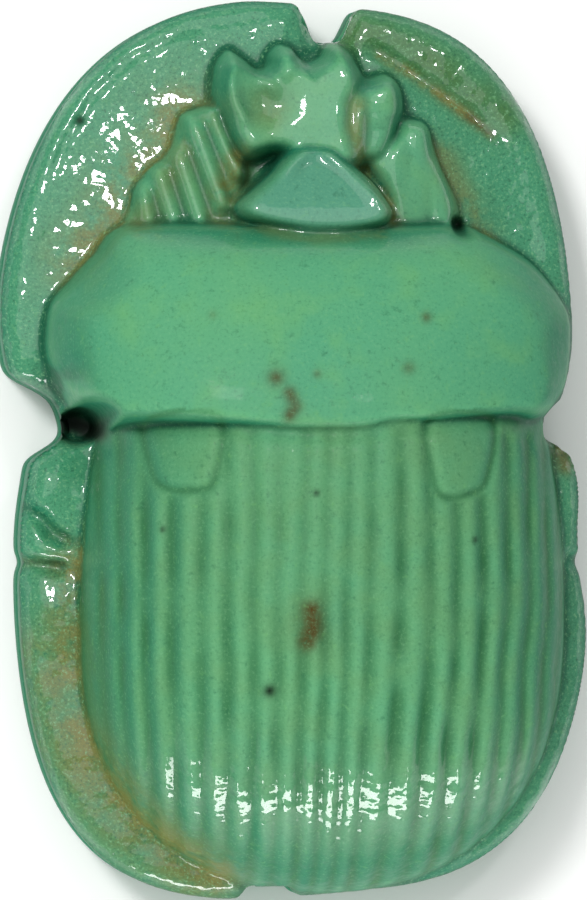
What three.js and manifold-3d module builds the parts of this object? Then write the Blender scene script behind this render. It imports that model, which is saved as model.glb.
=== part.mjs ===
import * as THREE from 'three';
import { ParametricGeometry } from 'three/addons/geometries/ParametricGeometry.js';
import { mergeVertices } from 'three/addons/utils/BufferGeometryUtils.js';
import Module from 'manifold-3d';

const wasm = await Module();
wasm.setup();

// A glazed scarab amulet lying on its flat underside, in millimetres.
// +X is across, +Y points to the head, +Z is up, and the origin is under the middle of the underside.
const length = 20;
const width = 13;
const height = 8.2;

// The plate under the legs, the line cut around it, and the legs that stand on it in low relief.
const plateThickness = 1.45;
const plateEdge = 0.14;
const lineDepth = 0.24;
const lineWidth = 0.44;
const legHeight = { fore: 2.95, middle: 3.1, hind: 2.85 };
const legRoll = 0.55;
const legRise = 0.45;

// The hole for a string, drilled lengthwise just above the plate, from the front notch to the tail notch.
const holeDiameter = 1.2;
const holeHeight = 2.12;

// The line engraved around the underside.
const borderInset = 0.85;
const borderWidth = 0.3;
const borderDepth = 0.16;

// The wing cases: rounded ridges that run from the neck line to the tail.
const ridgeCount = 19;
const ridgeDepth = 0.2;
const patchGroove = 0.15;

// How many steps the round forms are drawn with: whole counts, also when one is set to a fraction.
const facets = {
  outline: 100, ridge: 4, wingRows: 16, neckRings: 6, headRings: 4, stretch: 2, rib: 12, ribRings: 3,
  groove: 9, hole: 14,
};

// What follows is the carving, placed as shares of half the width, half the length and the height.
const halfWidth = width / 2;
const halfLength = length / 2;

// Each quarter of the outline is a superellipse; power says how square it is.
const quarters = {
  foreLeft: { across: 1.032, along: 1.0, power: 2.58 },
  foreRight: { across: 0.965, along: 0.985, power: 2.95 },
  hindLeft: { across: 0.947, along: 1.0, power: 3.38 },
  hindRight: { across: 1.034, along: 0.98, power: 3.2 },
};
const quarterBlend = 0.12;

// The outline is drawn in where two legs part: side is -1 or 1 on x or on y, and bell sets how flat the
// notch's floor is.
const notches = [
  { axis: 'x', side: -1, at: 0.071, half: 0.076, depth: 0.12, bell: 4 },
  { axis: 'x', side: -1, at: 0.035, half: 0.178, depth: 0.09, bell: 2 },
  { axis: 'x', side: 1, at: 0.05, half: 0.05, depth: 0.055, bell: 4 },
  { axis: 'x', side: 1, at: 0.065, half: 0.104, depth: 0.08, bell: 2 },
  { axis: 'x', side: 1, at: -0.208, half: 0.149, depth: 0.055, bell: 2 },
  { axis: 'y', side: 1, at: 0.111, half: 0.082, depth: 0.08, bell: 4 },
  { axis: 'y', side: -1, at: -0.089, half: 0.09, depth: 0.025, bell: 6 },
];
// Creases between the middle and the hind leg, cut over the legs and only faintly into their sides.
const creases = [
  { axis: 'x', side: -1, at: -0.25, half: 0.02, depth: 0.012, bell: 2 },
  { axis: 'x', side: 1, at: -0.252, half: 0.02, depth: 0.012, bell: 2 },
];
const creaseReach = 0.35;

const wings = {
  centre: 0.088, front: 0.09, widest: -0.36, tail: -0.985, halfWidth: 0.834, frontTaper: 0.08,
  foot: 0.3, crest: 1, crestAt: -0.16, flank: 2.3, round: 2.1, tailPower: 2.6, gather: 0.12,
  frontDrop: 0.03, tailFlank: 2.2, tailRound: 1.9, evenness: 0.12,
};
// The ridges are faint in the middle: calm is how much fainter, over a share of the wing cases' half width.
const ridgeCalm = { amount: 0.6, across: 0.45, along: 0.5 };
// Plain patches at the shoulders, each inside a U-shaped groove.
const patches = [
  { left: -0.537, right: -0.314, foot: -0.088 },
  { left: 0.398, right: 0.622, foot: -0.1 },
];

// The raised forms below have closed outlines of [x, y] shares around a middle. Their edges start at the lip,
// a share of the way up from foot to top, and are rounded over, more tightly the greater the roll.
// The neck shield spans the back. It falls towards the head and has a crisp edge over the wing cases.
const neck = {
  middle: [0.04, 0.27],
  points: [
    [-0.574, 0.48], [-0.675, 0.416], [-0.762, 0.367], [-0.834, 0.325], [-0.855, 0.275], [-0.854, 0.21],
    [-0.812, 0.15], [-0.751, 0.102], [-0.695, 0.076], [-0.558, 0.075], [-0.412, 0.068], [-0.214, 0.058],
    [-0.049, 0.048], [0.157, 0.05], [0.274, 0.065], [0.522, 0.076], [0.689, 0.086], [0.786, 0.082],
    [0.854, 0.095], [0.912, 0.144], [0.934, 0.239], [0.92, 0.31], [0.826, 0.378], [0.691, 0.434],
    [0.537, 0.48], [0.068, 0.488],
  ],
  foot: 0.3, top: 1, flank: 2.6, round: 2.1, span: 1.01, rear: 0.05, front: 0.485, fall: 0.34,
  fallPower: 2.1, rearTurn: { at: 0.42, over: 0.3 }, sideTurn: { at: 0.9, over: 0.14 }, frontTurn: 0.6,
  side: { lip: 0.35, roll: 6 }, ahead: { lip: 0.45, roll: 3 }, behind: { lip: 0.93, roll: 12 },
};
// The chest is the low form under the head and the forelegs.
const chest = {
  middle: [0, 0.62],
  points: [
    [-0.22, 0.78], [-0.05, 0.82], [0.15, 0.82], [0.3, 0.78], [0.4, 0.7], [0.48, 0.6], [0.5, 0.46],
    [-0.5, 0.46], [-0.48, 0.58], [-0.38, 0.68],
  ],
  foot: 0.3, top: 0.46, lip: 0.3, roll: 4,
};
// The head plate: a horn at its left end, then three teeth to the right, and a dish hollowed out behind them.
const head = {
  middle: [-0.046, 0.74],
  points: [
    [-0.277, 0.855], [-0.242, 0.88], [-0.177, 0.857], [-0.132, 0.84], [-0.111, 0.85], [-0.1, 0.873],
    [-0.068, 0.892], [-0.023, 0.886], [0.003, 0.865], [0.026, 0.855], [0.055, 0.858], [0.08, 0.869],
    [0.1, 0.888], [0.125, 0.895], [0.151, 0.89], [0.183, 0.873], [0.22, 0.82], [0.174, 0.78], [0.16, 0.74],
    [0.171, 0.699], [0.172, 0.635], [0.131, 0.622], [0.063, 0.613], [-0.005, 0.618], [-0.057, 0.64],
    [-0.092, 0.652], [-0.131, 0.642], [-0.183, 0.633], [-0.218, 0.648], [-0.251, 0.682], [-0.275, 0.723],
    [-0.294, 0.765], [-0.295, 0.807],
  ],
  foot: 0.3, top: 0.63, lip: 0.55, roll: 6,
  dish: { x: -0.12, y: 0.76, across: 0.12, along: 0.075, depth: 0.05 },
};
const eye = {
  middle: [0.25, 0.735],
  points: [
    [0.2, 0.815], [0.245, 0.822], [0.292, 0.828], [0.325, 0.822], [0.349, 0.803], [0.362, 0.774],
    [0.362, 0.745], [0.345, 0.716], [0.306, 0.691], [0.275, 0.666], [0.222, 0.633], [0.14, 0.64],
    [0.12, 0.72], [0.14, 0.78],
  ],
  foot: 0.3, top: 0.59, lip: 0.5, roll: 4,
};
// The back of the head spreads like a fan from a narrow front to a round back edge over the neck shield.
const fan = {
  middle: [0.04, 0.56],
  points: [
    [0.031, 0.674], [-0.042, 0.662], [-0.117, 0.602], [-0.214, 0.548], [-0.225, 0.525], [-0.185, 0.498],
    [-0.042, 0.476], [0.049, 0.469], [0.165, 0.473], [0.271, 0.488], [0.305, 0.513], [0.3, 0.535],
    [0.242, 0.589], [0.165, 0.633], [0.111, 0.665],
  ],
  foot: 0.42, top: 0.75, frontTop: 0.67, rear: 0.49, front: 0.67, lip: 0.6, roll: 4,
};
// The forelegs beside the head, and the slanting ribs that they are cut into. The ribs get shorter and lower
// away from the head: near and far are the first and the last one, each with its two ends.
const forelegs = [
  {
    middle: [-0.38, 0.6],
    points: [
      [-0.286, 0.757], [-0.386, 0.743], [-0.417, 0.713], [-0.443, 0.66], [-0.495, 0.63], [-0.54, 0.598],
      [-0.574, 0.544], [-0.585, 0.46], [-0.225, 0.46], [-0.177, 0.575], [-0.174, 0.635], [-0.246, 0.71],
    ],
    foot: 0.3, top: 0.5, lip: 0.4, roll: 6, ribs: 5,
    near: { x: -0.3, y: 0.745, backX: -0.2, top: 0.57 }, far: { x: -0.545, y: 0.58, backX: -0.51, top: 0.48 },
  },
  {
    middle: [0.4, 0.58],
    points: [
      [0.354, 0.73], [0.42, 0.726], [0.451, 0.708], [0.466, 0.673], [0.492, 0.624], [0.538, 0.564],
      [0.554, 0.529], [0.546, 0.46], [0.315, 0.46], [0.285, 0.542], [0.243, 0.593], [0.218, 0.635],
      [0.262, 0.66], [0.314, 0.695],
    ],
    foot: 0.3, top: 0.54, lip: 0.4, roll: 6, ribs: 3,
    near: { x: 0.34, y: 0.68, backX: 0.35, top: 0.56 }, far: { x: 0.49, y: 0.6, backX: 0.49, top: 0.5 },
  },
];
const ribWidth = 0.5;

const glaze = new THREE.MeshStandardMaterial({ color: 0x63a980, roughness: 0.3, metalness: 0 });

// 1 in the middle of a notch and 0 away from it.
function bell(offset, power) {
  return Math.exp(-(Math.abs(offset) ** power));
}

function smooth(value) {
  const t = THREE.MathUtils.clamp(value, 0, 1);
  return t * t * (3 - 2 * t);
}

// Half a superellipse's height at the share u of its half width: 1 in the middle, 0 at the edge.
function arch(u, flank, round) {
  return Math.max(0, 1 - Math.abs(u) ** flank) ** (1 / round);
}

// The outline at the turn t from 0 to 1, counter-clockwise from +X, with some notches cut in.
function outline(t, cuts) {
  const cos = Math.cos(2 * Math.PI * t);
  const sin = Math.sin(2 * Math.PI * t);
  const fore = smooth(0.5 + sin / (2 * quarterBlend));
  const right = smooth(0.5 + cos / (2 * quarterBlend));
  const mix = (key) => THREE.MathUtils.lerp(
    THREE.MathUtils.lerp(quarters.hindLeft[key], quarters.hindRight[key], right),
    THREE.MathUtils.lerp(quarters.foreLeft[key], quarters.foreRight[key], right),
    fore,
  );
  const power = 2 / mix('power');
  const point = {
    x: mix('across') * Math.sign(cos) * Math.abs(cos) ** power,
    y: mix('along') * Math.sign(sin) * Math.abs(sin) ** power,
  };
  const start = { ...point };
  for (const cut of cuts) {
    const other = cut.axis === 'x' ? 'y' : 'x';
    if (start[cut.axis] * cut.side > 0) {
      point[cut.axis] -= cut.side * cut.depth * bell((start[other] - cut.at) / cut.half, cut.bell);
    }
  }
  return new THREE.Vector2(point.x * halfWidth, point.y * halfLength);
}

// The turns of the points that draw the outline: they lie closer where it bends.
function outlineTurns(count) {
  const fine = 12 * count;
  const cuts = [...notches, ...creases];
  const bendLength = 0.9;
  const sums = [0];
  let before = outline(0, cuts).sub(outline(-1 / fine, cuts));
  for (let i = 1; i <= fine; i += 1) {
    const step = outline(i / fine, cuts).sub(outline((i - 1) / fine, cuts));
    sums.push(sums[i - 1] + step.length() + bendLength * step.angleTo(before));
    before = step;
  }
  return Array.from({ length: count }, (_, k) => {
    const goal = sums[fine] * k / count;
    return sums.findIndex((sum) => sum >= goal) / fine;
  });
}

// The height of the legs' upper edge beside a place at y.
function legTop(y) {
  const sideNotch = notches[0].at * halfLength;
  const crease = creases[0].at * halfLength;
  const blend = 0.05 * halfLength;
  const behind = THREE.MathUtils.lerp(legHeight.hind, legHeight.middle, smooth(0.5 + (y - crease) / blend));
  return THREE.MathUtils.lerp(behind, legHeight.fore, smooth(0.5 + (y - sideNotch) / blend));
}

// A closed body from a grid of points: place(i, j) gives a point, i goes round and j from pole to pole.
function body(around, along, place) {
  const geometry = new ParametricGeometry((u, v, target) => {
    target.copy(place(Math.round(u * around) % around, Math.round(v * along)));
  }, around, along);
  return solid(geometry);
}

// Makes a closed geometry into a solid: shared corners are merged, flat triangles dropped and the faces
// turned outwards.
function solid(geometry) {
  geometry.deleteAttribute('normal');
  geometry.deleteAttribute('uv');
  const merged = mergeVertices(geometry, 1e-4);
  const corners = merged.attributes.position;
  const index = merged.index.array;
  const at = [new THREE.Vector3(), new THREE.Vector3(), new THREE.Vector3()];
  const triangles = [];
  let volume = 0;
  for (let i = 0; i < index.length; i += 3) {
    const [a, b, c] = index.slice(i, i + 3);
    if (a !== b && b !== c && c !== a) {
      triangles.push(a, b, c);
      at.forEach((corner, k) => corner.fromBufferAttribute(corners, index[i + k]));
      volume += at[0].dot(at[1].cross(at[2]));
    }
  }
  if (volume < 0) {
    triangles.reverse();
  }
  return new wasm.Manifold(new wasm.Mesh({
    numProp: 3,
    vertProperties: new Float32Array(corners.array),
    triVerts: new Uint32Array(triangles),
  }));
}

// The plate and the legs: one profile carried round the outline, from the middle of the underside to the top.
function plateAndLegs() {
  const turns = outlineTurns(facets.outline);
  const lineTop = plateThickness + lineWidth / 2;
  const lineFoot = plateThickness - lineWidth / 2;
  const profile = [
    { inset: plateEdge * 2, z: () => 0, cuts: notches },
    { inset: plateEdge / 2, z: () => plateEdge, cuts: notches },
    { inset: 0, z: () => lineFoot, cuts: notches },
    { inset: lineDepth, z: () => plateThickness, cuts: notches },
    { inset: 0, z: () => lineTop, cuts: [...notches, ...creases] },
    { inset: 0, z: (top) => top - legRoll, cuts: [...notches, ...creases] },
    { inset: legRoll * 0.25, z: (top) => top - legRoll * 0.35, cuts: [...notches, ...creases] },
    { inset: legRoll, z: (top) => top, cuts: [...notches, ...creases] },
    { inset: legRoll * 3, z: (top) => top + legRise, cuts: notches },
  ];
  return body(turns.length, profile.length + 1, (i, j) => {
    if (j === 0) {
      return new THREE.Vector3(0, 0, 0);
    }
    if (j > profile.length) {
      return new THREE.Vector3(0, 0, legHeight.middle + legRise);
    }
    const ring = profile[j - 1];
    const edge = outline(turns[i], ring.cuts);
    const place = edge.clone().multiplyScalar(1 - ring.inset / edge.length());
    return new THREE.Vector3(place.x, place.y, ring.z(legTop(edge.y)));
  });
}

// A grooved bar along X over the legs: the top of the crease between the middle and the hind leg.
function creaseCut({ side, at }) {
  const radius = 0.045 * halfLength;
  const reach = creaseReach * halfWidth;
  const bar = new THREE.CylinderGeometry(radius, radius, reach, 10);
  bar.rotateZ(Math.PI / 2);
  bar.translate(side * (halfWidth - reach / 2 + radius), at * halfLength, legHeight.middle + radius * 0.35);
  return solid(bar);
}

// The wing cases' half width, crest and foot at a place along y, all in millimetres.
function wingSpan(y) {
  const widest = wings.widest * halfLength;
  const tail = wings.tail * halfLength;
  if (y > widest) {
    const t = (y - widest) / (wings.front * halfLength - widest);
    return halfWidth * (wings.halfWidth - wings.frontTaper * t * t);
  }
  return halfWidth * wings.halfWidth * arch((widest - y) / (widest - tail), wings.tailPower, wings.round);
}

function wingCrest(y) {
  const crestAt = wings.crestAt * halfLength;
  const tail = wings.tail * halfLength;
  const front = wings.front * halfLength;
  const rise = height * (wings.crest - wings.foot);
  if (y > crestAt) {
    const t = (y - crestAt) / (front - crestAt);
    return rise * (1 - wings.frontDrop * t * t);
  }
  return rise * arch((crestAt - y) / (crestAt - tail), wings.tailFlank, wings.tailRound);
}

// How deep the ridges are at a place: full at the flanks and the tail, faint in the middle near the neck,
// none on a patch.
function ridgeStrength(x, y) {
  const share = y / halfLength;
  const off = (x - wings.centre) / (wings.halfWidth * ridgeCalm.across);
  const middle = 1 - ridgeCalm.amount * bell(off, 2) * smooth(1.1 + share / ridgeCalm.along);
  const plain = patches.some((patch) => x > patch.left && x < patch.right && share > patch.foot);
  const frontFade = 0.06;
  return plain ? 0 : middle * smooth((wings.front - share) / frontFade - 1);
}

// A point of the wing cases. The ridges lie at even steps of s from -1 to 1. They run nearly straight to the
// tail, so a ridge ends where it meets the edge.
function wingPoint(s, y) {
  const span = wingSpan(y);
  const towardsTail = Math.max(0, wings.widest - y / halfLength) / (wings.widest - wings.tail);
  const reach = halfWidth * wings.halfWidth * (1 - wings.gather * towardsTail ** 2);
  const lane = reach * ((1 + wings.evenness) * s - wings.evenness * s ** 3);
  const across = THREE.MathUtils.clamp(lane, -span, span);
  const swell = span > 0 ? arch(across / span, wings.flank, wings.round) : 0;
  const x = wings.centre + across / halfWidth;
  const valley = 1 - Math.abs(Math.sin(Math.PI * ridgeCount * (s + 1) / 2));
  const z = wings.foot * height + wingCrest(y) * swell;
  const cut = ridgeDepth * valley * ridgeStrength(x, y) * smooth((z / height - wings.foot) / 0.08);
  const inwards = 1 - cut * (1 - swell) / halfWidth;
  return new THREE.Vector3(across * inwards + wings.centre * halfWidth, y, z - cut);
}

function wingCases() {
  const steps = Math.round(ridgeCount * facets.ridge);
  const rows = Math.round(facets.wingRows);
  return body(steps + 1, rows + 1, (i, j) => {
    if (j === 0) {
      const front = wings.front * halfLength;
      return new THREE.Vector3(wings.centre * halfWidth, front, wings.foot * height);
    }
    const t = (j - 1) / rows;
    const closer = 0.35 * t + 0.65 * Math.sin(t * Math.PI / 2);
    return wingPoint(-1 + 2 * i / steps, THREE.MathUtils.lerp(wings.front, wings.tail, closer) * halfLength);
  });
}

// The U-shaped groove round a shoulder patch, swept along the surface of the wing cases.
function patchCut(patch) {
  const steps = Math.round(facets.groove);
  const points = [];
  for (let i = 0; i <= steps; i += 1) {
    const turn = Math.PI * i / steps;
    const middle = (patch.left + patch.right) / 2;
    const reach = (patch.right - patch.left) / 2;
    const x = middle - reach * Math.sign(Math.cos(turn)) * Math.abs(Math.cos(turn)) ** 0.5;
    const share = THREE.MathUtils.lerp(wings.front - 0.05, patch.foot, Math.sin(turn) ** 0.5);
    const y = share * halfLength;
    const u = (x - wings.centre) * halfWidth / wingSpan(y);
    const z = wings.foot * height + wingCrest(y) * arch(u, wings.flank, wings.round);
    points.push(new THREE.Vector3(x * halfWidth, y, z + patchGroove * 0.3));
  }
  const section = new THREE.Shape().absarc(0, 0, patchGroove, 0, 2 * Math.PI);
  const path = new THREE.CatmullRomCurve3(points);
  return solid(new THREE.ExtrudeGeometry(section, { steps, curveSegments: 3, extrudePath: path }));
}

// A domed body: an outline by turn around a middle point, and its height by the share r of the way to the
// edge.
function dome({ around, rings, middle, edge, floor, top }) {
  const columns = Math.round(around);
  const rows = Math.round(rings);
  return body(columns, rows + 2, (i, j) => {
    if (j === 0) {
      return new THREE.Vector3(middle.x, middle.y, floor);
    }
    const r = j === 1 ? 1 : Math.sin(Math.PI / 2 * (rows + 2 - j) / rows);
    const place = middle.clone().addScaledVector(edge(i / columns), Math.max(r, 0));
    return new THREE.Vector3(place.x, place.y, j === 1 ? floor : top(place, r));
  });
}

// The turn's direction on a squarish oval, from its middle to its edge.
function oval(t, across, along, squareness) {
  const cos = Math.cos(2 * Math.PI * t);
  const sin = Math.sin(2 * Math.PI * t);
  const power = 2 / squareness;
  return new THREE.Vector2(
    across * Math.sign(cos) * Math.abs(cos) ** power,
    along * Math.sign(sin) * Math.abs(sin) ** power,
  );
}

// A raised form: its outline runs smoothly through the points, and top gives its height at a place, where r
// is the share of the way from the middle to the edge.
function raised({ points, middle }, steps, rings, floor, top) {
  const corners = points.map(([x, y]) => new THREE.Vector3(x * halfWidth, y * halfLength, 0));
  const curve = new THREE.CatmullRomCurve3(corners, true);
  const heart = new THREE.Vector2(middle[0] * halfWidth, middle[1] * halfLength);
  return dome({
    around: points.length * steps,
    rings,
    middle: heart,
    edge: (t) => {
      const place = curve.getPoint(t);
      return new THREE.Vector2(place.x, place.y).sub(heart);
    },
    floor,
    top,
  });
}

// How far up a raised form is at the share r of the way to its edge: 1 in the middle, the lip at the edge.
function shoulder(r, lip, roll) {
  return THREE.MathUtils.lerp(lip, 1, arch(r, roll, 2));
}

function neckShield() {
  const floor = neck.foot * height;
  const centre = neck.middle[0] * halfWidth;
  const { side, ahead, behind, rearTurn, sideTurn } = neck;
  return raised(neck, facets.stretch, facets.neckRings, floor, (place, r) => {
    const u = (place.x - centre) / (neck.span * halfWidth);
    const v = (place.y / halfLength - neck.rear) / (neck.front - neck.rear);
    const swell = arch(u, neck.flank, neck.round) * (1 - neck.fall * Math.max(0, v) ** neck.fallPower);
    const inner = smooth((sideTurn.at - Math.abs(u)) / sideTurn.over);
    const toRear = inner * smooth((rearTurn.at - v) / rearTurn.over);
    const toFront = smooth((v - neck.frontTurn) / rearTurn.over);
    const edge = (key) => THREE.MathUtils.lerp(
      THREE.MathUtils.lerp(side[key], ahead[key], toFront),
      behind[key],
      toRear,
    );
    return floor + (neck.top - neck.foot) * height * swell * shoulder(r, edge('lip'), edge('roll'));
  });
}

// A raised form with a level top.
function level(form) {
  const floor = form.foot * height;
  const rise = (form.top - form.foot) * height;
  const top = (place, r) => floor + rise * shoulder(r, form.lip, form.roll);
  return raised(form, 1, facets.headRings, floor, top);
}

function headPlate() {
  const { dish } = head;
  const bowl = new THREE.SphereGeometry(1, 20, 10);
  bowl.scale(dish.across * halfWidth, dish.along * halfLength, dish.depth * height);
  bowl.translate(dish.x * halfWidth, dish.y * halfLength, head.top * height);
  return level(head).subtract(solid(bowl)).add(level(eye));
}

function headFan() {
  const floor = fan.foot * height;
  return raised(fan, facets.stretch, facets.headRings, floor, (place, r) => {
    const forward = smooth((place.y / halfLength - fan.rear) / (fan.front - fan.rear));
    const top = THREE.MathUtils.lerp(fan.top, fan.frontTop, forward) * height;
    return floor + (top - floor) * shoulder(r, fan.lip, fan.roll);
  });
}

// The ribs of one foreleg, from beside the head outwards. They end under the neck shield.
function ribsOf({ ribs, near, far }) {
  const backY = neck.front * halfLength - ribWidth;
  const floor = legHeight.fore - legRoll;
  const origin = new THREE.Vector2();
  return Array.from({ length: ribs }, (_, i) => {
    const between = (key) => THREE.MathUtils.lerp(near[key], far[key], i / (ribs - 1));
    const front = new THREE.Vector2(between('x') * halfWidth, between('y') * halfLength);
    const back = new THREE.Vector2(between('backX') * halfWidth, backY);
    const reach = front.distanceTo(back) / 2;
    const heading = front.clone().sub(back).angle();
    const rise = between('top') * height - floor;
    return dome({
      around: facets.rib,
      rings: facets.ribRings,
      middle: front.clone().add(back).divideScalar(2),
      edge: (t) => oval(t, reach, ribWidth / 2, 3).rotateAround(origin, heading),
      floor,
      top: (place, r) => floor + rise * shoulder(r, 0.6, 3),
    });
  });
}

// The string's hole, from the middle of the front notch to the middle of the tail notch.
function stringHole() {
  const ends = notches.filter((notch) => notch.axis === 'y');
  const front = new THREE.Vector2(ends[0].at * halfWidth, halfLength);
  const back = new THREE.Vector2(ends[1].at * halfWidth, -halfLength);
  const radius = holeDiameter / 2;
  const drill = new THREE.CylinderGeometry(radius, radius, front.distanceTo(back) * 1.1, facets.hole);
  drill.rotateZ(-Math.atan2(front.x - back.x, front.y - back.y));
  drill.translate((front.x + back.x) / 2, 0, holeHeight);
  return solid(drill);
}

// The line engraved round the underside, a band between two insets of the outline.
function borderCut() {
  const ring = (inset) => outlineTurns(facets.outline).map((turn) => {
    const edge = outline(turn, notches);
    return edge.multiplyScalar(1 - inset / edge.length());
  });
  const shape = new THREE.Shape(ring(borderInset));
  shape.holes.push(new THREE.Path(ring(borderInset + borderWidth)));
  const line = new THREE.ExtrudeGeometry(shape, { depth: 2 * borderDepth, bevelEnabled: false });
  line.translate(0, 0, -borderDepth);
  return solid(line);
}

let scarab = plateAndLegs();
for (const crease of creases) {
  scarab = scarab.subtract(creaseCut(crease));
}
let wingsSolid = wingCases();
for (const patch of patches) {
  wingsSolid = wingsSolid.subtract(patchCut(patch));
}
scarab = scarab.add(wingsSolid).add(neckShield()).add(level(chest));
scarab = scarab.add(headPlate()).add(headFan());
for (const foreleg of forelegs) {
  scarab = scarab.add(level(foreleg));
  for (const rib of ribsOf(foreleg)) {
    scarab = scarab.add(rib);
  }
}
scarab = scarab.subtract(stringHole()).subtract(borderCut());

const mesh = scarab.getMesh();
const geometry = new THREE.BufferGeometry();
geometry.setAttribute('position', new THREE.BufferAttribute(mesh.vertProperties, 3));
geometry.setIndex(new THREE.BufferAttribute(mesh.triVerts, 1));
geometry.computeBoundingBox();
const middle = geometry.boundingBox.getCenter(new THREE.Vector3());
geometry.translate(-middle.x, -middle.y, 0);

const amulet = new THREE.Mesh(geometry, glaze);
amulet.name = 'scarab_amulet';
const group = new THREE.Group();
group.add(amulet);

export default group;
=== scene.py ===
import bpy
import numpy as np
from mathutils import Matrix, Vector


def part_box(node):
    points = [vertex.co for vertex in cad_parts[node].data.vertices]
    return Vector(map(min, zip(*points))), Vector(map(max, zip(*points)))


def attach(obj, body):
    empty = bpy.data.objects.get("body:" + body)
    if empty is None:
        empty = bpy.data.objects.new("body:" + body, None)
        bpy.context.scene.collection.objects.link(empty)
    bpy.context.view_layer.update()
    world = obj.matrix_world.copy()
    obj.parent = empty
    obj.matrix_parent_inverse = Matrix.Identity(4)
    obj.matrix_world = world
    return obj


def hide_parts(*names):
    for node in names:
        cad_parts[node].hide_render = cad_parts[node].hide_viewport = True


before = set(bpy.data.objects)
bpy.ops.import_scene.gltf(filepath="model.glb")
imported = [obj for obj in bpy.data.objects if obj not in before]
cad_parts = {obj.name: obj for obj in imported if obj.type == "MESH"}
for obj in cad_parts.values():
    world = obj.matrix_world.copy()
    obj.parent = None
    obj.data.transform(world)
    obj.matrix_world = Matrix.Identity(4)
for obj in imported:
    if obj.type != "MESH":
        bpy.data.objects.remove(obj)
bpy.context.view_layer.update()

# A glazed scarab amulet seen from above. Lengths in the dictionaries are millimetres, and what is placed
# as a share is a share of half the width (x), half the length (y) or the height (z).
mm = 0.001
low, high = (np.array(corner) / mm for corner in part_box("scarab_amulet"))
halfWidth, halfLength, height = (high - low) * (0.5, 0.5, 1)


# small shapes that everything is made of

def smoothStep(t):       # 0 below 0, 1 above 1, 3t^2 - 2t^3 between
    t = np.clip(t, 0, 1)
    return t * t * (3 - 2 * t)


def bell(offset, power=2):       # exp(-|offset|^power)
    return np.exp(-np.abs(offset) ** power)


def arch(u, flank, crown):       # (1 - |u|^flank)^(1/crown), a rounded arch from -1 to 1
    return np.clip(1 - np.abs(u) ** flank, 0, None) ** (1 / crown)


def blendMax(a, b, soft):
    # the greater of the two, and near^2 soft / 4 more where they are within soft of each other: a fillet
    near = np.clip(soft - np.abs(a - b), 0, None) / soft
    return np.maximum(a, b) + near * near * soft / 4


def mix(a, b, t):                # a + (b - a) t
    return a + (b - a) * t


def grain(points, cell, seed):
    # smooth noise from -1 to 1: random numbers on a lattice, blended between the eight around each point
    table = np.random.default_rng(seed).uniform(-1, 1, (32, 32, 32))
    scaled = points / cell + 64
    start = np.floor(scaled).astype(int)
    part = smoothStep(scaled - start)
    total = np.zeros(len(points))
    for corner in np.ndindex(2, 2, 2):
        pick = (start + corner) % 32
        weight = np.prod(np.where(corner, part, 1 - part), axis=1)
        total += table[pick[:, 0], pick[:, 1], pick[:, 2]] * weight
    return total


def nearPath(x, y, path):
    # distance from each place to a line of straight stretches, and how far along it the nearest point is,
    # from 0 to 1
    path = np.array(path, float)
    if len(path) == 1:
        return np.hypot(x - path[0, 0], y - path[0, 1]), np.zeros_like(x)
    best = np.full(x.shape, np.inf)
    along = np.zeros_like(x)
    lengths = np.hypot(*np.diff(path, axis=0).T)
    done = np.concatenate(([0], np.cumsum(lengths)))
    for start, end, before, length in zip(path[:-1], path[1:], done, lengths):
        step = end - start
        t = np.clip(((x - start[0]) * step[0] + (y - start[1]) * step[1]) / length ** 2, 0, 1)
        gap = np.hypot(x - start[0] - t * step[0], y - start[1] - t * step[1])
        closer = gap < best
        along[closer] = ((before + t * length) / done[-1])[closer]
        best = np.minimum(best, gap)
    return best, along


def roundLoop(points, steps=5):
    # a closed curve through the points: a Catmull-Rom spline, steps points to each stretch
    p = np.array(points, float)
    before, after, beyond = np.roll(p, 1, 0), np.roll(p, -1, 0), np.roll(p, -2, 0)
    t = np.linspace(0, 1, steps, endpoint=False)[None, :, None]
    p, before, after, beyond = (q[:, None] for q in (p, before, after, beyond))
    curve = 0.5 * (2 * p + (after - before) * t + (2 * before - 5 * p + 4 * after - beyond) * t ** 2
                   + (3 * p - before - 3 * after + beyond) * t ** 3)
    return curve.reshape(-1, 2)


def insideLoop(x, y, loop):      # crossing count of a ray from each place with the closed loop
    inside = np.zeros(x.shape, bool)
    for (x0, y0), (x1, y1) in zip(loop, np.roll(loop, -1, axis=0)):
        crosses = (y0 > y) != (y1 > y)
        inside ^= crosses & (x < (x1 - x0) * (y - y0) / (y1 - y0 + 1e-12) + x0)
    return inside


def loopDepth(x, y, points, reach=2.5):
    # how far inside the rounded loop each place is, negative outside; places beyond reach aren't measured
    loop = roundLoop(points)
    depth = np.full(x.shape, -reach)
    (x0, y0), (x1, y1) = loop.min(axis=0) - reach, loop.max(axis=0) + reach
    near = (x > x0) & (x < x1) & (y > y0) & (y < y1)
    gap, _ = nearPath(x[near], y[near], np.concatenate((loop, loop[:1])))
    depth[near] = np.where(insideLoop(x[near], y[near], loop), gap, -gap)
    return depth


def slab(depth, floor, top, roll, lip, cliff, soft=0):
    # a raised form: floor + (top - floor)(lip + (1 - lip) bend), a cliff outside. The bend over the roll is a
    # quarter round, or a parabola as soft goes to 1
    out = (1 - np.clip(depth / roll, 0, 1)) ** 2
    bend = mix(np.sqrt(1 - out), 1 - out, soft)
    return floor + (top - floor) * (lip + (1 - lip) * bend) - cliff * np.clip(-depth, 0, None)


# outline and legs

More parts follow.
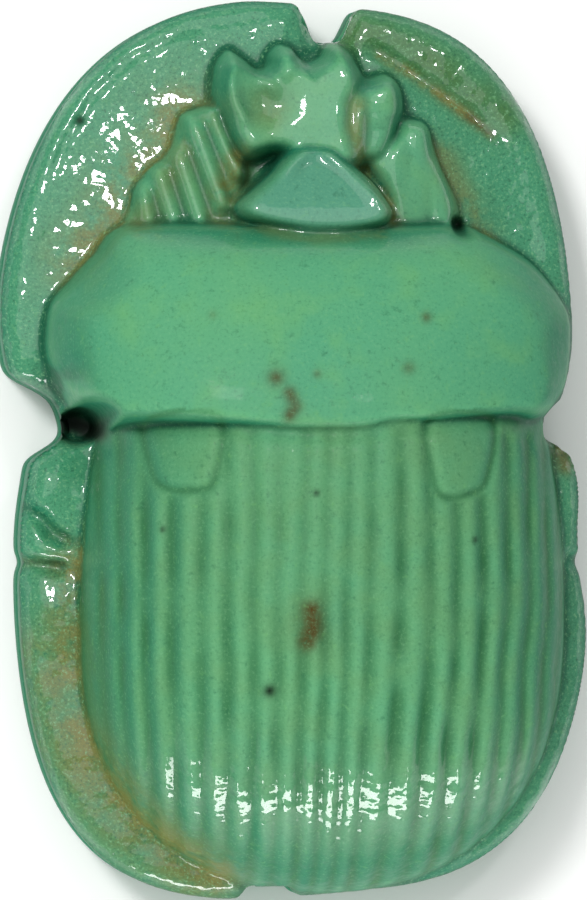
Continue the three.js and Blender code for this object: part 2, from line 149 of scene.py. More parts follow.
outlineShape = dict(
    quarters=dict(        # a superellipse for each quarter: across, along, power
        foreLeft=(1.032, 1.0, 2.58), foreRight=(0.965, 0.985, 2.95),
        hindLeft=(0.947, 1.0, 3.38), hindRight=(1.034, 0.98, 3.2)),
    blend=0.12,
    notches=[             # axis, side, place along the other axis, half width, depth, squareness
        ("x", -1, 0.071, 0.076, 0.12, 4), ("x", -1, 0.035, 0.178, 0.09, 2),
        ("x", 1, 0.05, 0.05, 0.055, 4), ("x", 1, 0.065, 0.104, 0.08, 2), ("x", 1, -0.208, 0.149, 0.055, 2),
        ("y", 1, 0.111, 0.082, 0.08, 4), ("y", -1, -0.089, 0.09, 0.025, 6)],
    creases=[("x", -1, -0.25, 0.02, 0.012, 2), ("x", 1, -0.252, 0.02, 0.012, 2)],
    cutReach=0.45, points=1600,
)
legs = dict(fore=2.95, middle=3.1, hind=2.85, roll=0.55, rise=0.45, riseWidth=2.6, blend=0.5)


def quarterMix(cos, sin, place):
    # the value of the quarter that the turn is in, blended over a short way where two quarters meet
    blend = 2 * outlineShape["blend"]
    fore, right = smoothStep(0.5 + sin / blend), smoothStep(0.5 + cos / blend)
    q = {name: values[place] for name, values in outlineShape["quarters"].items()}
    return mix(mix(q["hindLeft"], q["hindRight"], right), mix(q["foreLeft"], q["foreRight"], right), fore)


def plainOutline(turn):
    # x = a sign(cos) |cos|^(2/n) and y = b sign(sin) |sin|^(2/n)
    cos, sin = np.cos(2 * np.pi * turn), np.sin(2 * np.pi * turn)
    a, b, n = (quarterMix(cos, sin, place) for place in range(3))
    x, y = a * np.sign(cos) * np.abs(cos) ** (2 / n), b * np.sign(sin) * np.abs(sin) ** (2 / n)
    return np.stack((x, y), axis=-1)


roundTrip = plainOutline(np.linspace(0, 1, 4001))


def cutIn(points):
    # draws the places (shares) in at each notch by a bell, fully at the outline and less and less within
    start, moved = points, points.copy()
    for axis, side, at, half, depth, square in outlineShape["notches"] + outlineShape["creases"]:
        a, b = (0, 1) if axis == "x" else (1, 0)
        edge = roundTrip[roundTrip[:, a] * side > 0]
        edge = edge[np.argsort(edge[:, b])]
        rim = np.interp(start[..., b], edge[:, b], edge[:, a] * side)
        fade = smoothStep(1 - (rim - start[..., a] * side) / outlineShape["cutReach"])
        bite = depth * bell((start[..., b] - at) / half, square) * fade
        moved[..., a] -= side * bite * (start[..., a] * side > 0)
    return moved * (halfWidth, halfLength)


def outline(turn):
    return cutIn(plainOutline(turn))


def legTop(y):
    # the height of the legs' upper edge: hind, middle and fore leg, with a short slope between
    crease, notch = (outlineShape[key][0][2] * halfLength for key in ("creases", "notches"))
    behind = mix(legs["hind"], legs["middle"], smoothStep(0.5 + (y - crease) / legs["blend"]))
    return mix(behind, legs["fore"], smoothStep(0.5 + (y - notch) / legs["blend"]))


edgePoints = outline(np.arange(outlineShape["points"]) / outlineShape["points"])


def edgeDistance(x, y):          # distance to the nearest stretch of the outline
    best = np.full(x.shape, np.inf)
    for start in range(0, x.size, 8000):
        part = slice(start, start + 8000)
        gap = np.hypot(x[part, None] - edgePoints[:, 0], y[part, None] - edgePoints[:, 1])
        best[part] = gap.min(axis=1)
    return best


def legHeight(x, y, d):
    # a quarter round from the edge up to legTop, then a gentle rise inwards
    roll = legs["roll"]
    round_ = np.sqrt(np.clip(roll ** 2 - np.clip(roll - d, 0, roll) ** 2, 0, None))
    return legTop(y) - roll + round_ + legs["rise"] * smoothStep((d - roll) / legs["riseWidth"])


# wing cases

wings = dict(
    centre=0.088, front=0.09, widest=-0.36, tail=-0.985, halfWidth=0.834, frontTaper=0.08, foot=0.3,
    crest=1.0, crestAt=-0.16, frontFall=0.03, flank=2.3, crown=2.1, tailPower=2.6, gather=0.12,
    rearPower=2.2, rearCrown=1.9, cliff=3.0, cliffReach=3.0,
    valleys=[-4.46, -4.08, -3.6, -3.05, -2.42, -1.85, -1.27, -0.75, -0.2, 0.3, 0.75, 1.25, 1.92, 2.6, 3.17,
             3.8, 4.4, 4.93, 5.4],
    nextValleys=(0.4, 0.8), valleyDepth=0.18, valleySharpness=3, wobble=0.07, uneven=0.5,
    frontMargin=0.03, frontFade=0.04, footFade=0.04,
    calm=dict(amount=0.7, x=-0.4, width=0.36, start=1.1, run=0.6),       # the ridges are faint in the middle
    worn=dict(at=-7.9, along=1.2, amount=0.15),
)
patches = dict(
    shapes=[[(-3.49, 0.7), (-3.45, -0.44), (-3.16, -0.83), (-2.5, -0.88), (-2.13, -0.61), (-2.04, 0.7)],
            [(2.59, 0.7), (2.63, -0.44), (2.85, -1.01), (3.51, -0.96), (3.91, -0.61), (4.04, 0.7)]],
    reach=1.0, fade=0.2, grooveWidth=0.09, grooveDepth=0.15,
)


def wingSpan(y):
    # half width: a slow taper to the front, a superellipse to the tail
    widest, tail, front = (wings[key] * halfLength for key in ("widest", "tail", "front"))
    ahead = wings["halfWidth"] - wings["frontTaper"] * ((y - widest) / (front - widest)) ** 2
    behind = wings["halfWidth"] * arch((widest - y) / (widest - tail), wings["tailPower"], wings["crown"])
    return halfWidth * np.where(y > widest, ahead, behind)


def wingRise(y):
    # height of the crest over the foot: nearly level to the front, an arch down to the tail
    top, tail, front = (wings[key] * halfLength for key in ("crestAt", "tail", "front"))
    ahead = 1 - wings["frontFall"] * ((y - top) / (front - top)) ** 2
    behind = arch((top - y) / (top - tail), wings["rearPower"], wings["rearCrown"])
    return height * (wings["crest"] - wings["foot"]) * np.where(y > top, ahead, behind)


def wingHeight(x, y, wave, fleck):
    # foot + rise(y) arch(u), less the hand-cut valleys, each |cos|^3 about its own line, now deep, now shallow
    calm, worn = wings["calm"], wings["worn"]
    span = np.maximum(wingSpan(y), 1e-6)
    across = x - wings["centre"] * halfWidth
    u = across / span
    swell = arch(u, wings["flank"], wings["crown"])
    z = wings["foot"] * height + wingRise(y) * swell
    share = y / halfLength
    back = np.clip(wings["widest"] - share, 0, None) / (wings["widest"] - wings["tail"])
    lane = across / (1 - wings["gather"] * back ** 2) + wings["centre"] * halfWidth + wings["wobble"] * wave
    lines = np.array(wings["valleys"])
    more = np.array(wings["nextValleys"])
    lines = np.concatenate((lines[:1] - more[::-1], lines, lines[-1:] + more))
    phase = np.interp(lane, lines, np.arange(len(lines)))
    valley = np.abs(np.cos(np.pi * phase)) ** wings["valleySharpness"]
    line = np.zeros_like(x)
    middle = bell((across - calm["x"]) / (calm["width"] * halfWidth))
    strength = 1 - calm["amount"] * middle * smoothStep(calm["start"] + share / calm["run"])
    fromFront = smoothStep((wings["front"] - wings["frontMargin"] - share) / wings["frontFade"])
    strength = strength * fromFront * (1 + wings["uneven"] * fleck)
    for shape in patches["shapes"]:
        depth = loopDepth(x, y, shape, patches["reach"])
        strength *= smoothStep(-depth / patches["fade"])
        line = np.maximum(line, bell(depth / patches["grooveWidth"]) * (share < wings["front"]))
    z -= patches["grooveDepth"] * line
    strength *= smoothStep((z / height - wings["foot"]) / wings["footFade"])
    strength *= 1 - worn["amount"] * bell((y - worn["at"]) / worn["along"])
    z -= wings["valleyDepth"] * valley * strength
    outside = np.clip(np.abs(u) - 1, 0, None) * span + np.clip(wings["tail"] * halfLength - y, 0, None)
    z = z - wings["cliff"] * np.minimum(outside, wings["cliffReach"])
    return np.where(y > wings["front"] * halfLength, 0, z), np.maximum(valley * strength, line)


# neck shield, head and the forelegs beside it. Outlines are in millimetres

neck = dict(
    loop=[(-3.73, 4.8), (-4.39, 4.16), (-4.95, 3.67), (-5.42, 3.25), (-5.56, 2.75), (-5.55, 2.1),
          (-5.28, 1.5), (-4.88, 1.02), (-4.52, 0.76), (-3.63, 0.75), (-2.68, 0.68), (-1.39, 0.58),
          (-0.67, 0.52), (-0.32, 0.48), (1.02, 0.5), (1.78, 0.65), (2.62, 0.66), (3.39, 0.76), (4.48, 0.86),
          (5.11, 0.82), (5.55, 0.95), (5.93, 1.44), (6.07, 2.39), (5.98, 3.1), (5.37, 3.78), (4.49, 4.34),
          (3.49, 4.8), (2.21, 4.84), (0.44, 4.88), (-1.42, 4.86)],
    x=0.25, span=6.3, flank=2.35, crown=2.1, archShare=0.96, foot=0.3, crest=1.0, fall=0.36, fallPower=1.9,
    frontY=4.85, rearY=0.5, rearShare=0.42, frontShare=0.6, shareFade=0.3, rearSpan=5.6, rearSpanFade=0.9,
    rollFront=0.9, lipFront=0.86, rollSide=1.0, lipSide=0.42, rollRear=0.22, lipRear=0.95, cliff=8.0,
)
head = dict(
    loop=[(-1.57, 8.8), (-1.36, 8.72), (-1.15, 8.57), (-0.99, 8.44), (-0.86, 8.4), (-0.72, 8.5),
          (-0.65, 8.73), (-0.44, 8.92), (-0.15, 8.86), (0.02, 8.65), (0.17, 8.55), (0.36, 8.58), (0.52, 8.69),
          (0.65, 8.88), (0.81, 8.95), (0.98, 8.9), (1.19, 8.73), (1.33, 8.48), (1.5, 8.25), (1.7, 8.24),
          (1.9, 8.28), (2.11, 8.22), (2.27, 8.03), (2.35, 7.74), (2.35, 7.45), (2.26, 7.1), (2.15, 6.7),
          (1.9, 6.3), (1.44, 6.15), (0.85, 6.1), (0.41, 6.1), (-0.03, 6.18), (-0.37, 6.4), (-0.6, 6.47),
          (-0.85, 6.4), (-1.19, 6.33), (-1.42, 6.48), (-1.63, 6.82), (-1.79, 7.23), (-1.91, 7.65),
          (-1.92, 8.07), (-1.8, 8.55)],
    foot=0.34, plateTop=0.625, eyeTop=0.575, eyeLine=1.2, eyeBlend=0.3, roll=0.42, lip=0.22, cliff=9.0,
    lean=0.02, leanFrom=7.5, reach=1.5, dishPower=2.5,
    valley=dict(path=[(1.62, 8.3), (1.3, 7.95), (1.12, 7.6), (1.1, 7.2), (1.18, 6.8), (1.3, 6.4)],
                width=0.17, depth=0.26),
    rims=[dict(path=[(-1.56, 8.45), (-1.6, 8.04), (-1.5, 7.6), (-1.2, 7.1)], width=0.1, rise=0.18),
          dict(path=[(-1.5, 8.42), (-1.17, 8.3), (-0.84, 8.15), (-0.5, 7.75)], width=0.1, rise=0.18),
          dict(path=[(-0.66, 8.4), (-0.5, 8.62), (-0.3, 8.66), (-0.1, 8.5), (-0.35, 8.3), (-0.6, 8.3)],
               width=0.1, rise=0.07),
          dict(path=[(0.75, 8.72), (0.5, 8.45), (0.22, 8.3)], width=0.12, rise=0.1),
          dict(path=[(0.85, 8.72), (1.05, 8.4), (1.02, 8.1)], width=0.1, rise=0.08),
          dict(path=[(1.85, 7.95), (2.0, 7.7)], width=0.22, rise=0.07),
          dict(path=[(1.5, 7.5), (1.8, 7.2)], width=0.2, rise=0.09)],
    dishes=[dict(x=-0.8, y=7.6, across=0.62, along=0.6, depth=0.27),
            dict(x=0.15, y=7.7, across=0.7, along=0.6, depth=0.05),
            dict(x=0.1, y=6.75, across=1.1, along=0.4, depth=0.1)],
)
fan = dict(
    loop=[(0.2, 6.74), (-0.27, 6.62), (-0.76, 6.02), (-1.39, 5.48), (-1.46, 5.25), (-1.2, 4.98),
          (-0.27, 4.76), (0.32, 4.69), (1.07, 4.73), (1.76, 4.88), (1.98, 5.13), (1.95, 5.35), (1.57, 5.89),
          (1.07, 6.33), (0.72, 6.65)],
    foot=0.44, top=0.75, frontTop=0.66, rearY=4.9, run=1.8, roll=0.26, lip=0.45, cliff=9.0, reach=1.5,
    rims=[dict(path=[(0.0, 6.5), (-0.7, 5.96), (-1.2, 5.5)], width=0.1, rise=0.17),
          dict(path=[(0.5, 6.5), (0.93, 6.16), (1.35, 5.72), (1.7, 5.35)], width=0.1, rise=0.16),
          dict(path=[(0.17, 6.5), (0.13, 5.4)], width=0.09, rise=0.03)],
)
rimEnd = dict(fade=0.25, start=0.3)      # each rim fades out towards the end of its path
chest = dict(                    # the low form under the head and the forelegs
    loop=[(-1.5, 7.9), (-0.4, 8.3), (1.0, 8.3), (1.95, 7.9), (2.6, 7.1), (3.1, 6.0), (3.25, 4.6),
          (-3.25, 4.6), (-3.1, 5.8), (-2.5, 6.8)],
    top=0.47, roll=0.6, lip=0.0, cliff=3.0,
)
shins = [
    dict(loop=[(-1.86, 7.57), (-2.51, 7.43), (-2.71, 7.13), (-2.88, 6.6), (-3.22, 6.3), (-3.51, 5.98),
               (-3.73, 5.44), (-3.8, 4.6), (-1.46, 4.6), (-1.15, 5.75), (-1.1, 6.35), (-1.37, 6.6),
               (-1.6, 7.1)],
         top=0.53, farTop=0.46,
         ribs=[[(-1.95, 7.45), (-1.4, 6.1)], [(-2.45, 7.3), (-1.75, 5.4)], [(-2.72, 6.5), (-2.2, 4.9)],
               [(-3.15, 6.1), (-2.75, 4.85)], [(-3.52, 5.75), (-3.3, 4.85)]],
         ribWidth=0.18, ribRise=0.34),
    dict(loop=[(2.3, 7.3), (2.73, 7.26), (2.93, 7.08), (3.03, 6.73), (3.2, 6.24), (3.5, 5.64), (3.6, 5.29),
               (3.55, 4.6), (2.05, 4.6), (1.85, 5.42), (1.58, 5.93), (1.42, 6.35), (1.7, 6.6), (2.04, 6.95)],
         top=0.55, farTop=0.5,
         ribs=[[(2.7, 7.0), (2.6, 5.0)], [(3.1, 6.2), (3.15, 4.9)], [(2.15, 6.6), (2.2, 5.2)]],
         ribWidth=0.24, ribRise=0.12),
]
shinShape = dict(reach=1.5, farFrom=1.6, farRun=2.0, roll=0.35, lip=0.3, cliff=7.0, ribPower=3.5, ribFade=0.12,
                 ribStart=0.6)


def neckHeight(x, y):
    # a broad arch, falling towards the head; the loop's edge is rounded, softly in front and tightly behind
    n = neck
    depth = loopDepth(x, y, n["loop"])
    v = np.clip((y - n["rearY"]) / (n["frontY"] - n["rearY"]), 0, 1)
    u = np.clip((x - n["x"]) / n["span"], -1, 1)
    swell = arch(u * n["archShare"], n["flank"], n["crown"]) * (1 - n["fall"] * v ** n["fallPower"])
    floor = n["foot"] * height
    crest = floor + (n["crest"] - n["foot"]) * height * swell
    rear = smoothStep((n["rearShare"] - v) / n["shareFade"])
    rear = rear * smoothStep((n["rearSpan"] - np.abs(x - n["x"])) / n["rearSpanFade"])
    front = smoothStep((v - n["frontShare"]) / n["shareFade"])
    roll = mix(mix(n["rollSide"], n["rollFront"], front), n["rollRear"], rear)
    lip = mix(mix(n["lipSide"], n["lipFront"], front), n["lipRear"], rear)
    return slab(depth, floor, crest, roll, lip, n["cliff"], front)


def addRims(z, x, y, rims):      # each rim adds rise exp(-(distance / width)^2)
    for rim in rims:
        gap, along = nearPath(x, y, rim["path"])
        end = smoothStep((1 - along) / rimEnd["fade"] + rimEnd["start"])
        z = z + rim["rise"] * bell(gap / rim["width"]) * end
    return z


def headHeight(x, y):
    # one rounded slab with teeth, lower at the eye beside the plate, hollowed by dishes and by a valley
    # between the plate and the eye
    h = head
    eye = smoothStep((x - h["eyeLine"]) / h["eyeBlend"])
    top = height * mix(h["plateTop"] - h["lean"] * (y - h["leanFrom"]), h["eyeTop"], eye)
    z = slab(loopDepth(x, y, h["loop"], h["reach"]), h["foot"] * height, top, h["roll"], h["lip"], h["cliff"])
    for dish in h["dishes"]:
        r = np.hypot((x - dish["x"]) / dish["across"], (y - dish["y"]) / dish["along"])
        z = z - dish["depth"] * bell(r, h["dishPower"])
    gap, _ = nearPath(x, y, h["valley"]["path"])
    z = z - h["valley"]["depth"] * bell(gap / h["valley"]["width"])
    return addRims(z, x, y, h["rims"])


def fanHeight(x, y):
    # a flat wedge, higher at its back
    f = fan
    top = height * mix(f["top"], f["frontTop"], smoothStep((y - f["rearY"]) / f["run"]))
    z = slab(loopDepth(x, y, f["loop"], f["reach"]), f["foot"] * height, top, f["roll"], f["lip"], f["cliff"])
    return addRims(z, x, y, f["rims"])


def shinHeight(x, y, shin):
    # a low slab with slanting ribs on it, which end with the slab
    s = shinShape
    depth = loopDepth(x, y, shin["loop"], s["reach"])
    far = smoothStep((np.abs(x) - s["farFrom"]) / s["farRun"])
    top = height * mix(shin["top"], shin["farTop"], far)
    z = slab(depth, legs["fore"], top, s["roll"], s["lip"], s["cliff"])
    for path in shin["ribs"]:
        gap, _ = nearPath(x, y, path)
        rib = bell(gap / shin["ribWidth"], s["ribPower"])
        z = z + shin["ribRise"] * rib * smoothStep(depth / s["ribFade"] + s["ribStart"])
    return z


# what is carved into the joined forms: path, width, depth

carving = dict(
    grooves=[
        dict(path=[(-0.4, 9.6), (-1.45, 9.47), (-2.35, 9.3), (-3.6, 8.68), (-4.45, 7.9), (-5.1, 6.85),
                   (-5.55, 5.77)], width=0.13, depth=0.09),
        dict(path=[(1.61, 8.96), (2.32, 8.52), (3.03, 8.03), (3.83, 7.47), (4.37, 7.01)],
             width=0.16, depth=0.14),
        dict(path=[(-6.6, -1.2), (-6.35, -1.22), (-6.02, -1.29), (-5.68, -1.51), (-5.42, -1.84),
                   (-4.9, -2.11)], width=0.17, depth=0.32),
        dict(path=[(-6.6, -2.46), (-5.88, -2.48), (-5.04, -2.62)], width=0.15, depth=0.28),
        dict(path=[(6.7, -2.5), (6.45, -2.44), (6.0, -2.35)], width=0.15, depth=0.25)],
    lumps=[dict(x=-5.45, y=-0.75, across=0.75, along=0.65, rise=0.3),
           dict(x=-5.35, y=-3.5, across=0.6, along=0.8, rise=0.22),
           dict(x=-5.3, y=1.4, across=0.5, along=0.5, rise=-0.25),
           dict(x=6.1, y=-1.1, across=0.45, along=0.8, rise=0.25)],
    pockets=[dict(x=-4.82, y=0.53, across=0.36, along=0.32, floor=1.5, wall=14),
             dict(x=5.75, y=0.45, across=0.14, along=0.22, floor=1.9, wall=14),
             dict(x=3.6, y=5.0, across=0.12, along=0.12, floor=3.1, wall=9)],
    pocketFillet=0.15, grooveEnds=dict(fade=0.1, start=0.3, endFade=0.15, end=0.1),
    neckLine=dict(width=0.22, depth=0.12, behind=0.1, power=3, frontY=1.5, fade=0.6),
)


def carve(z, x, y):
    # lumps rise exp(-r^2), grooves -depth exp(-(distance / width)^2), and pockets: the lesser of z and a cup
    ends = carving["grooveEnds"]
    for lump in carving["lumps"]:
        r = np.hypot((x - lump["x"]) / lump["across"], (y - lump["y"]) / lump["along"])
        z = z + lump["rise"] * bell(r)
    for groove in carving["grooves"]:
        gap, along = nearPath(x, y, groove["path"])
        fade = smoothStep(along / ends["fade"] + ends["start"])
        fade = fade * smoothStep((1 - along) / ends["endFade"] + ends["end"])
        z = z - groove["depth"] * bell(gap / groove["width"]) * fade
    for pocket in carving["pockets"]:
        r = np.hypot((x - pocket["x"]) / pocket["across"], (y - pocket["y"]) / pocket["along"])
        wall = pocket["floor"] + pocket["wall"] * np.clip(r - 1, 0, None) * pocket["across"]
        z = -blendMax(-z, -wall, carving["pocketFillet"])
    return z


# the fillets between the forms, the unevenness of the ridges, and where each form's look ends
joins = dict(
    wing=0.06, chest=0.2, neck=0.06, shin=0.14, head=0.2, fan=0.1,
    waveSize=1.6, fleckSize=0.8, fleckStretch=1.6, ribFade=0.3, bandRise=0.05, bandFade=0.3, headMargin=0.3,
    headFade=0.5, glossY=-7.6, glossRun=2.2, seamWidth=0.35, seamY=0.7, fanFade=0.1, wingY=0.8, wingFade=0.3,
    ribLumps=0.5,
)


def topHeight(x, y):
    # all forms joined, each with a fillet, then carved
    j = joins
    flat = np.stack((x, y, np.zeros_like(x)), axis=-1)
    wave = grain(flat, j["waveSize"], 3)
    fleck = grain(flat * (j["fleckStretch"], 1, 1), j["fleckSize"], 4)
    legZ = legHeight(x, y, edgeDistance(x, y))
    wingZ, valley = wingHeight(x, y, wave, fleck)
    z = blendMax(legZ, wingZ, j["wing"])
    line = carving["neckLine"]
    cut = bell((loopDepth(x, y, neck["loop"], 1.0) + line["behind"]) / line["width"], line["power"])
    z = z - line["depth"] * cut * (y < line["frontY"]) * smoothStep((wingZ - legZ) / line["fade"])
    chestDepth = loopDepth(x, y, chest["loop"])
    low = slab(chestDepth, legs["fore"], chest["top"] * height, chest["roll"], chest["lip"], chest["cliff"])
    z = blendMax(z, low, j["chest"])
    z = blendMax(z, neckHeight(x, y), j["neck"])
    ribs = 0
    for shin in shins:
        shinZ = shinHeight(x, y, shin)
        ribs = np.maximum(ribs, smoothStep((shinZ - z) / j["ribFade"]))
        z = blendMax(z, shinZ, j["shin"])
    z = blendMax(z, headHeight(x, y), j["head"])
    fanZ = fanHeight(x, y)
    z = blendMax(z, fanZ, j["fan"])
    band = 1 - smoothStep((z - legZ - j["bandRise"]) / j["bandFade"])
    onHead = smoothStep((chestDepth + j["headMargin"]) / j["headFade"])
    glossy = 1 - (1 - band) * smoothStep((y - j["glossY"]) / j["glossRun"])
    # painted shadow: darker colour in a line along the seam where the wing cases meet the legs
    seamShadow = bell((wingZ - legZ) / j["seamWidth"]) * (y < j["seamY"])
    ribs = ribs * (fanZ < z)
    return carve(z, x, y), dict(
        band=band, fan=smoothStep((fanZ - z + j["fanFade"]) / j["fanFade"]), ribs=ribs,
        wing=(1 - band) * smoothStep((j["wingY"] - y) / j["wingFade"]), matt=(1 - glossy) * (1 - onHead),
        lumpy=glossy * np.maximum(1 - onHead, j["ribLumps"] * ribs),
        valley=np.maximum(valley * (1 - band), seamShadow))


# the skin: a grid over the top, then rings down the side and in under the foot

skin = dict(
    across=224, along=330, bunch=0.5, steepest=4, rounds=3, pulls=80, melt=2,
    handWork=0.045, handSize=1.6, drops=0.004, lumps=0.012, dropSize=0.55, handFade=0.8,
)
foot = dict(
    plate=1.45, edge=0.14, lineDepth=0.24, lineWidth=0.44, borderInset=0.85, borderWidth=0.3,
    borderDepth=0.16, innerRing=0.4,
)
# what the glaze is told of the shape: rings averaged over, the height or slope that counts, and the eases of
# painted light: less darker colour on slopes facing the front and on the neck's front, where the light falls
shade = dict(
    hollowRings=14, hollowDepth=0.3, fineRings=5, fineDepth=0.08, footHollow=0.2, slopeRings=2, slopeFrom=0.4,
    slopeRun=1.6, litFrontEase=0.7, ribEase=0.5, litNeckEase=0.65, neckY=3.0, stainZ=1.2, stainFade=0.25,
    mattDeposit=0.85,
)


def sideOfOutline(start, end, count):        # points at equal lengths along a stretch of the plain outline
    curve = plainOutline(np.linspace(start, end, 2000))
    steps = np.hypot(*(np.diff(curve, axis=0) * (halfWidth, halfLength)).T)
    sums = np.concatenate(([0], np.cumsum(steps)))
    goal = np.linspace(0, sums[-1], count)
    return np.stack([np.interp(goal, sums, column) for column in curve.T], axis=-1)


def topGrid():
    # Coons patch: (1-v) tail(u) + v front(u) + (1-u) left(v) + u right(v) less the mix of the four corners
    n, m = skin["across"] + 1, skin["along"] + 1
    tail, front = sideOfOutline(0.625, 0.875, n), sideOfOutline(0.375, 0.125, n)
    left, right = sideOfOutline(0.625, 0.375, m), sideOfOutline(-0.125, 0.125, m)
    u, v = np.linspace(0, 1, n)[:, None, None], np.linspace(0, 1, m)[None, :, None]
    corners = (mix(mix(tail[0], tail[-1], u), mix(front[0], front[-1], u), v))
    return mix(tail[:, None], front[:, None], v) + mix(left[None], right[None], u) - corners


def heights(grid):               # x, y and z of the grid's points, and what topHeight says of them
    place = cutIn(grid)
    x, y = place.reshape(-1, 2).T
    z, forms = topHeight(x, y)
    return np.concatenate((place, z.reshape(grid.shape[:2])[..., None]), axis=-1), forms


def spread(values, times):       # each value averaged with its neighbours, times over
    for _ in range(times):
        values = np.pad(values, 1, mode="edge")
        values = (values[:-2] + 2 * values[1:-1] + values[2:]) / 4
        values = (values[:, :-2] + 2 * values[:, 1:-1] + values[:, 2:]) / 4
    return values


def gatherOnSlopes(grid):
    # pulls each point to its neighbours, harder along edges that climb, so that steep places get more points
    for _ in range(skin["rounds"]):
        points, _ = heights(grid)
        pull = []
        for axis in (0, 1):
            step = np.diff(points, axis=axis)
            climb = np.linalg.norm(step, axis=2) / (np.linalg.norm(step[..., :2], axis=2) + 1e-9)
            pull.append(1 + skin["bunch"] * (spread(np.minimum(climb, skin["steepest"]), 3) - 1))
        along, across = pull[0][:, 1:-1], pull[1][1:-1]
        total = (along[:-1] + along[1:] + across[:, :-1] + across[:, 1:])[..., None]
        for _ in range(skin["pulls"]):
            inner = (along[1:, :, None] * grid[2:, 1:-1] + along[:-1, :, None] * grid[:-2, 1:-1]
                     + across[:, 1:, None] * grid[1:-1, 2:] + across[:, :-1, None] * grid[1:-1, :-2]) / total
            grid = grid.copy()
            grid[1:-1, 1:-1] = inner
    return grid


def footRings(edge, topZ):
    # rings from the legs' side down to the middle of the underside: inset from the edge, and height
    lineTop, lineFoot = foot["plate"] + foot["lineWidth"] / 2, foot["plate"] - foot["lineWidth"] / 2
    rings = [(0.0, mix(topZ, lineTop, t)) for t in (0.25, 0.5, 0.75, 1)]
    for t in (0.25, 0.5, 0.75, 1):           # the line around the plate
        rings.append((foot["lineDepth"] * (0.5 - 0.5 * np.cos(2 * np.pi * t)), mix(lineTop, lineFoot, t)))
    rings.append((0.0, foot["edge"] * 2))
    for t in (0, 0.5, 1):                    # the plate's rounded lower edge
        rings.append((foot["edge"] * (1 - np.cos(t * np.pi / 2)), foot["edge"] * (1 - np.sin(t * np.pi / 2))))
    for t in (0, 0.25, 0.5, 0.75, 1):        # the border line under the foot
        inset = foot["borderInset"] + foot["borderWidth"] * t
        rings.append((inset, foot["borderDepth"] * (0.5 - 0.5 * np.cos(2 * np.pi * t))))
    reach = np.linalg.norm(edge, axis=1)
    out = []
    for inset, z in rings:
        place = edge * (1 - inset / reach)[:, None]
        out.append(np.column_stack((place, np.broadcast_to(z, len(edge)))))
    out.append(np.column_stack((edge * foot["innerRing"], np.zeros(len(edge)))))
    return out


def meshObject(name, points, faces):
    mesh = bpy.data.meshes.new(name)
    mesh.from_pydata(points, [], faces)
    mesh.validate()
    mesh.polygons.foreach_set("use_smooth", np.ones(len(mesh.polygons), bool))
    piece = bpy.data.objects.new(name, mesh)
    bpy.context.collection.objects.link(piece)
    return piece


def setValues(mesh, name, values):
    mesh.attributes.new(name, "FLOAT", "POINT").data.foreach_set("value", np.asarray(values, np.float32))


hole = dict(diameter=1.2, z=2.12, sides=28, overrun=1.1)


def drillHole(scarab):
    # takes a round bar out of the scarab: a circle carried from the front notch to the tail notch
    ends = [notch for notch in outlineShape["notches"] if notch[0] == "y"]
    front, back = (np.array((notch[2] * halfWidth, notch[1] * halfLength)) for notch in ends)
    way, middle = (front - back) / np.linalg.norm(front - back), (front + back) / 2
    turn = np.arange(hole["sides"]) / hole["sides"] * 2 * np.pi
    across = np.array((way[1], -way[0]))
    rings = []
    for side in (-1, 1):
        centre = middle + way * side * halfLength * hole["overrun"]
        place = centre + across * np.cos(turn)[:, None] * hole["diameter"] / 2
        rings.append(np.column_stack((place, hole["z"] + np.sin(turn) * hole["diameter"] / 2)))
    here = np.arange(hole["sides"])
    there, after = here + hole["sides"], np.roll(here, -1)
    faces = [tuple(face) for face in np.stack((here, there, after + hole["sides"], after), axis=-1).tolist()]
    faces += [tuple(here.tolist()), tuple(there[::-1].tolist())]
    bar = meshObject("stringBar", np.concatenate(rings) * mm, faces)
    bar.data.polygons.foreach_set("use_smooth", np.zeros(len(faces), bool))
    cut = scarab.modifiers.new("stringHole", "BOOLEAN")
    cut.operation, cut.solver, cut.object = "DIFFERENCE", "EXACT", bar
    whole = scarab.evaluated_get(bpy.context.evaluated_depsgraph_get())
    drilled = bpy.data.meshes.new_from_object(whole)
    scarab.modifiers.clear()
    scarab.data = drilled
    bpy.data.objects.remove(bar)


def shapeMarks(top, forms):
    # what the glaze needs of the top's shape, and its value for the foot: how far each point lies below the
    # mean of those around it, how steep it is (less on the neck's front and the ribs) and what form it is on.
    # The steepness lays a darker slope colour, partly thicker glaze and partly painted shade; painted light
    # eases it on matt slopes facing the front and eases the hollows on the neck's front, where the light falls
    s, z = shade, top[..., 2]
    matt, ribs = (forms[name].reshape(z.shape) for name in ("matt", "ribs"))
    # painted light: the neck's front, where the light falls, gets less of the hollows and so less darker glaze
    lit = 1 - s["litNeckEase"] * matt * smoothStep(top[..., 1] - s["neckY"])
    across, along = np.gradient(z)
    slope = np.hypot(across, along) / np.sqrt(np.abs(cellSizes(top)))
    # painted light: matt slopes facing the front, where the light falls, count as less steep and get less shade
    forward = np.clip(-along / (np.abs(along) + np.abs(across) + 1e-6), 0, 1)
    steepShade = smoothStep((spread(slope, s["slopeRings"]) - s["slopeFrom"]) / s["slopeRun"])
    steepShade = steepShade * (1 - s["litFrontEase"] * forward * matt) * (1 - s["ribEase"] * ribs)
    hollow = np.clip((spread(z, s["hollowRings"]) - z) / s["hollowDepth"], -1, 1) * lit
    fine = np.clip((spread(z, s["fineRings"]) - z) / s["fineDepth"], -1, 1) * lit
    marks = [("hollow", hollow, s["footHollow"]), ("fineHollow", fine, 0)]
    marks += [("steepShade", steepShade, 1), ("matt", matt, 1)]
    return marks + [(name, forms[name], 0) for name in ("band", "fan", "wing", "lumpy", "valley")]


